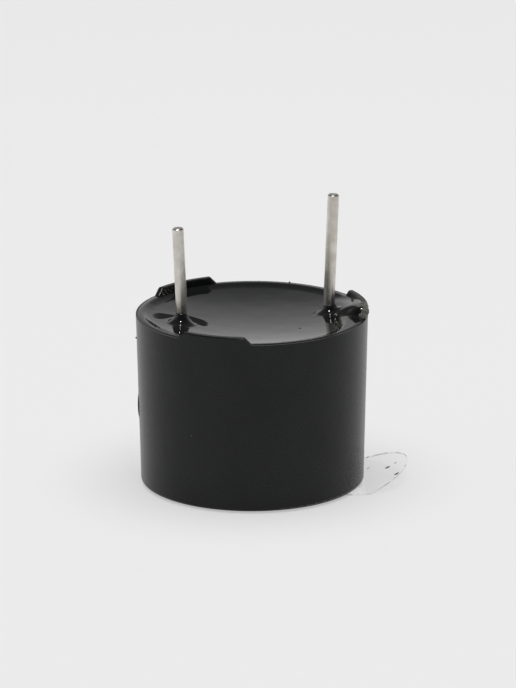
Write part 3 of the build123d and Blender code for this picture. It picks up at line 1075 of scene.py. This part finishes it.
    def bank(self, x: float, y: float) -> float:
        """Gives how far a point is up the bank that runs from the long pin to the front rim.

        Args:
            x: The point's X.
            y: The point's Y.

        Returns:
            The share, from 0 at its foot to 1 on its top.
        """
        turn = math.radians(self.bank_turn)
        dx, dy = x - self.menisci[0].place[0], y - self.menisci[0].place[1]
        front = dx * math.sin(turn) - dy * math.cos(turn)
        right = dx * math.cos(turn) + dy * math.sin(turn)
        top = self.bank_line[0][1]
        for (a, low), (b, high) in zip(self.bank_line, self.bank_line[1:]):
            if a <= front <= b:
                top = low + (high - low) * (front - a) / (b - a)
        width = max(top - self.bank_foot, self.bank_least_width)
        share = min(max((right - self.bank_foot) / width, 0.0), 1.0)
        return share * smooth_step(*self.bank_start, front) * (1 - smooth_step(*self.bank_end, front))

    def upturn(self, x: float, y: float) -> float:
        """Gives how far the edge has turned up.

        Args:
            x: The point's X.
            y: The point's Y.

        Returns:
            The share, from 0 in the dish to 1 at the bore.
        """
        inner = self.bore_radius - self.upturn_width
        outwards = min(max(math.hypot(x, y) - inner, 0.0) / (self.bore_radius - inner), 1.0)
        turn = math.degrees(math.atan2(y, x)) % 360
        first, last = self.sharp_angles
        sharp = smooth_step(first - self.blend, first + self.blend, turn)
        sharp *= 1 - smooth_step(last - self.blend, last + self.blend, turn)
        soft = self.upturn_even * outwards + (1 - self.upturn_even) * outwards ** self.upturn_power
        return soft + (outwards ** self.sharp_power - soft) * sharp

    def height(self, x: float, y: float) -> float:
        """Gives the height of the resin's surface, without its dimples.

        Args:
            x: The point's X.
            y: The point's Y.

        Returns:
            The height above the table.
        """
        radius = math.hypot(x, y)
        inner = self.bore_radius - self.upturn_width
        brim_z = self.rim_z + self.brim_height
        z = brim_z - self.upturn_climb - self.dish_depth
        z += self.dish_depth * (min(radius, inner) / inner) ** 2
        z += self.upturn_climb * self.upturn(x, y)
        z += max(brim_z - z, 0.0) * self.bank(x, y)
        z += self.brim_slope * max(radius - self.bore_radius, 0.0)
        z -= 2 * self.brim_height * smooth_step(self.brim_radius - self.brim_edge, self.brim_radius, radius)
        for meniscus in self.menisci:
            z += meniscus.rise(x, y, self.pin_radius)
        wave = sum(share * noise.noise((x * often, y * often, seed)) for often, share, seed in self.waves)
        return z + self.run(x, y) + self.ripple * wave

    def spacing(self, x: float, y: float) -> int:
        """Gives how coarse the mesh may be at a point.

        Args:
            x: The point's X.
            y: The point's Y.

        Returns:
            1, 2 or 4 steps of the grid.
        """
        pins = min(meniscus.away(x, y) for meniscus in self.menisci)
        outlines = (spot for dimple in self.dimples for spot in dimple.outline)
        near = any(math.dist((x, y), spot) < self.fine_reach for spot in outlines)
        if near or self.run(x, y) > self.run_least or 0 < self.bank(x, y) < 1:
            return 1
        return 2 if pins < self.pin_reach or math.hypot(x, y) > self.rim_reach else 4

    def ringed_points(self) -> list[Vector]:
        """Places the points on the edge, on the rings beside it and on the rings round the pins.

        Returns:
            The points, edge first.
        """
        points = []
        for row, inset in enumerate((0.0, *self.insets)):
            for i in range(self.edge_count):
                # The second and the fourth of the inner rings are turned by half a step.
                angle = 360 * (i + 0.5 * (row in (2, 4))) / self.edge_count
                points.append(Vector(polar(self.edge_radius(angle) - inset, angle)))
        for meniscus in self.menisci:
            for k in range(1, self.rings + 1):
                inwards = math.sin(math.pi / 2 * k / self.rings) ** self.ring_power
                away = meniscus.radius - (meniscus.radius - self.pin_radius) * inwards
                for i in range(self.spokes):
                    x, y = polar(away, 360 / self.spokes * (i + 0.5 * (k % 2)))
                    points.append(Vector((meniscus.place[0] + x, meniscus.place[1] + y)))
        return points

    def gridded_points(self) -> list[Vector]:
        """Places the points between the rings.

        Returns:
            The points.
        """
        points = []
        reach = int(self.brim_radius / self.grid) + 1
        for i in range(-reach, reach + 1):
            for j in range(-reach, reach + 1):
                x, y = (i + self.grid_shift[0]) * self.grid, (j + self.grid_shift[1]) * self.grid
                clear = all(m.away(x, y) > m.radius * self.ring_overlap for m in self.menisci)
                inset = self.edge_radius(math.degrees(math.atan2(y, x))) - math.hypot(x, y)
                coarse = self.spacing(x, y) if inset > self.grid_inset and clear else 0
                if coarse and i % coarse == 0 and j % coarse == 0:
                    points.append(Vector((x, y)))
        return points

    def build(self) -> None:
        """Makes the resin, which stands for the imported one."""
        count = self.edge_count
        curves = [dimple.rounded() for dimple in self.dimples]
        points = self.ringed_points() + [Vector(spot) for curve in curves for spot in curve]
        points += self.gridded_points()
        edges = [(i, (i + 1) % count) for i in range(count)]
        flat, _, faces, *_ = delaunay_2d_cdt(points, edges, [], 1, 1e-7)
        verts = []
        for p in flat:
            dip = sum(dimple.depth(curve, p.x, p.y) for dimple, curve in zip(self.dimples, curves))
            verts.append((p.x, p.y, self.height(p.x, p.y) - dip))
        cells = [tuple(face) for face in faces]
        wall = self.bore_radius + self.bite
        above = list(range(count))
        for radius, z in ((None, self.rim_z - self.bite), (wall, self.rim_z - 2 * self.bite),
                          (wall, self.board_z)):
            start = len(verts)
            for i in range(count):
                x, y = polar(radius or self.edge_radius(360 * i / count), 360 * i / count)
                verts.append((x, y, z))
            below = list(range(start, start + count))
            for i in range(count):
                j = (i + 1) % count
                cells.append((above[i], below[i], below[j], above[j]))
            above = below
        cells.append(tuple(reversed(above)))
        made = piece("resin", verts, cells, Shading.SMOOTH, CastResin().build())
        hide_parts("potting_resin")


@dataclass(frozen=True)
class Blob:
    """One lump of spilt resin: an ellipsoid, placed about the buzzer's axis.

    Attributes:
        radius: Its distance from the axis.
        angle: Its angle about the axis.
        z: Its height.
        size: Its half sizes outwards, round the rim and upwards.
    """

    radius: float
    angle: float
    z: float
    size: Point3


@dataclass(frozen=True)
class Pit:
    """A hole where a bubble burst in the spilt resin: its place about the axis and its radius."""

    radius: float
    angle: float
    z: float
    size: float


@dataclass
class RimSpill:
    """The resin that ran over the foot beside the long pin and set on the rim's outer edge.

    Attributes:
        cell: How fine its mesh is.
        melt: How many times its skin is smoothed.
        roughness: How rough its skin is.
        rough_angles: Where it is smoothest and where it is roughest.
        least_rough: How rough it is at its smoothest, as a share.
        lumps: The frequencies of its coarse and its fine lumps, and the share of the fine ones.
        pits: Its pits.
        blobs: The lumps that it is made of.
    """

    cell: float = 0.028
    melt: int = 6
    roughness: float = 0.028
    rough_angles: Point2 = (-10.0, -16.0)
    least_rough: float = 0.15
    lumps: Point3 = (6.0, 13.0, 0.6)
    pits: tuple[Pit, ...] = (Pit(6.06, -18.5, 9.46, 0.14), Pit(5.98, -14.0, 9.6, 0.09))
    blobs: tuple[Blob, ...] = (
        Blob(5.72, -11.0, 9.50, (0.20, 0.42, 0.13)),
        Blob(5.86, -15.5, 9.53, (0.28, 0.42, 0.25)),
        Blob(5.95, -19.5, 9.42, (0.24, 0.34, 0.28)),
        Blob(5.97, -24.0, 9.24, (0.19, 0.30, 0.18)),
        Blob(5.80, -20.0, 9.24, (0.24, 0.42, 0.20)))

    def build(self) -> None:
        """Makes the spill: its lumps are joined under one skin, which is then pitted."""
        rough = bmesh.new()
        for blob in self.blobs:
            x, y = polar(blob.radius, blob.angle)
            turn = Matrix.Rotation(math.radians(blob.angle), 4, "Z")
            place = Matrix.Translation((x, y, blob.z)) @ turn @ Matrix.Diagonal((*blob.size, 1.0))
            bmesh.ops.create_icosphere(rough, subdivisions=4, radius=1.0, matrix=place)
        mesh = bpy.data.meshes.new("spill_lumps")
        rough.to_mesh(mesh)
        rough.free()
        lumps = bpy.data.objects.new("spill_lumps", mesh)
        bpy.context.scene.collection.objects.link(lumps)
        skin = lumps.modifiers.new("skin", "REMESH")
        skin.mode = "VOXEL"
        skin.voxel_size = self.cell
        melt = lumps.modifiers.new("melt", "SMOOTH")
        melt.factor = 0.5
        melt.iterations = self.melt
        shape = bpy.data.meshes.new_from_object(lumps.evaluated_get(bpy.context.evaluated_depsgraph_get()))
        verts = [self.pitted(v.co, v.normal) for v in shape.vertices]
        faces = [tuple(p.vertices) for p in shape.polygons]
        bpy.data.objects.remove(lumps)
        piece("resin_spill", verts, faces, Shading.SMOOTH, SpiltResin().build())

    def pitted(self, point: Vector, normal: Vector) -> Point3:
        """Moves a point of the skin in or out, more where the spill is rough, and in at its pits.

        Args:
            point: The point.
            normal: The skin's normal there.

        Returns:
            The point's new place.
        """
        angle = math.degrees(math.atan2(point.y, point.x))
        coarse, fine, share = self.lumps
        lumpy = noise.noise(point * coarse) + share * noise.noise(point * fine)
        rough = self.least_rough + smooth_step(*self.rough_angles, angle)
        moved = point + normal * self.roughness * rough * lumpy
        for pit in self.pits:
            away = (point - Vector((*polar(pit.radius, pit.angle), pit.z))).length
            moved -= normal * pit.size * (1 - smooth_step(0.2 * pit.size, pit.size, away))
        return moved.x, moved.y, moved.z


@dataclass(frozen=True)
class Crumb:
    """A grain of cured resin that stuck to the cup: its place about the axis and its half size."""

    radius: float
    angle: float
    z: float
    size: float


@dataclass
class Crumbs:
    """The few grains of resin on the cup's wall, rim and feet.

    Attributes:
        stretch: A grain's proportions.
        turns: How much further each grain is turned than the last, in radians about X, Y and Z.
        grains: The grains.
    """

    stretch: Point3 = (1.3, 0.9, 0.7)
    turns: Point3 = (1.3, 0.7, 2.1)
    grains: tuple[Crumb, ...] = (
        Crumb(5.985, 224.1, 4.02, 0.035), Crumb(6.10, 166.0, 7.84, 0.055), Crumb(6.02, 56.4, 9.19, 0.07),
        Crumb(4.64, 99.5, 8.90, 0.07), Crumb(4.70, 98.8, 8.90, 0.05),
        Crumb(5.77, 130.5, 9.24, 0.05), Crumb(5.76, 128.8, 9.33, 0.055), Crumb(5.77, 127.6, 9.22, 0.045),
        Crumb(5.77, 126.4, 9.37, 0.05), Crumb(5.76, 125.0, 9.29, 0.04), Crumb(5.77, 129.6, 9.44, 0.04),
        Crumb(5.76, 131.6, 9.36, 0.04), Crumb(5.77, 123.4, 9.42, 0.035))

    def build(self) -> None:
        """Makes all the grains as one piece."""
        grains = bmesh.new()
        stretch = Matrix.Diagonal((*self.stretch, 1.0))
        for index, grain in enumerate(self.grains):
            x, y = polar(grain.radius, grain.angle)
            turn = Euler([index * part for part in self.turns]).to_matrix().to_4x4()
            place = Matrix.Translation((x, y, grain.z)) @ turn @ stretch
            bmesh.ops.create_icosphere(grains, subdivisions=2, radius=grain.size, matrix=place)
        verts = [tuple(v.co) for v in grains.verts]
        faces = [tuple(v.index for v in face.verts) for face in grains.faces]
        grains.free()
        # The grains take the spilt resin's finish, whose grey is partly dust and partly painted light.
        piece("resin_crumbs", verts, faces, Shading.SMOOTH, SpiltResin().build())


@dataclass
class Pins(Dressing):
    """The two tinned pins."""

    def build(self) -> None:
        """Dresses both pins."""
        self.dress(TinnedWire(), "long_pin", "short_pin")


@dataclass
class SoundWorks(Dressing):
    """The diaphragm, the magnet and the coil, which the cup hides."""

    def build(self) -> None:
        """Dresses the sound works."""
        self.dress(ROLLED_IRON, "diaphragm")
        self.dress(ZINC_PLATED_IRON, "diaphragm_weight", "pole_core", "yoke_plate")
        self.dress(MOULDED_BLACK_NYLON, "support_ring")
        self.dress(SINTERED_FERRITE, "ring_magnet")
        self.dress(MOULDED_NYLON, "coil_bobbin")
        self.dress(WoundWire(), "drive_winding", "feedback_winding", "coil_leads")


@dataclass
class DriveBoard(Dressing):
    """The circuit board and what is soldered to it, which the resin hides."""

    def build(self) -> None:
        """Dresses the board."""
        self.dress(WovenBoard(), "circuit_board")
        self.dress(PACKAGE_EPOXY, "transistor_body")
        self.dress(GLAZED_CERAMIC, "resistor_body")
        self.dress(MATT_TIN, "transistor_leads", "resistor_caps")
        self.dress(SOLDER, "chip_solder", "coil_solder", "pin_solder")


def main() -> None:
    """Builds the whole picture, in order."""
    logging.basicConfig(level=logging.INFO, format="%(message)s")
    bpy.ops.wm.read_factory_settings(use_empty=True)
    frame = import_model()
    nodes = frame["nodes"]
    PhotoCamera().build()
    Studio().build()
    Housing(nodes).build()
    Seal(nodes).build()
    PottedTop().build()
    RimSpill().build()
    Crumbs().build()
    Pins(nodes).build()
    SoundWorks(nodes).build()
    DriveBoard(nodes).build()
    bpy.context.scene.view_settings.view_transform = "Standard"


if __name__ == "__main__":
    main()
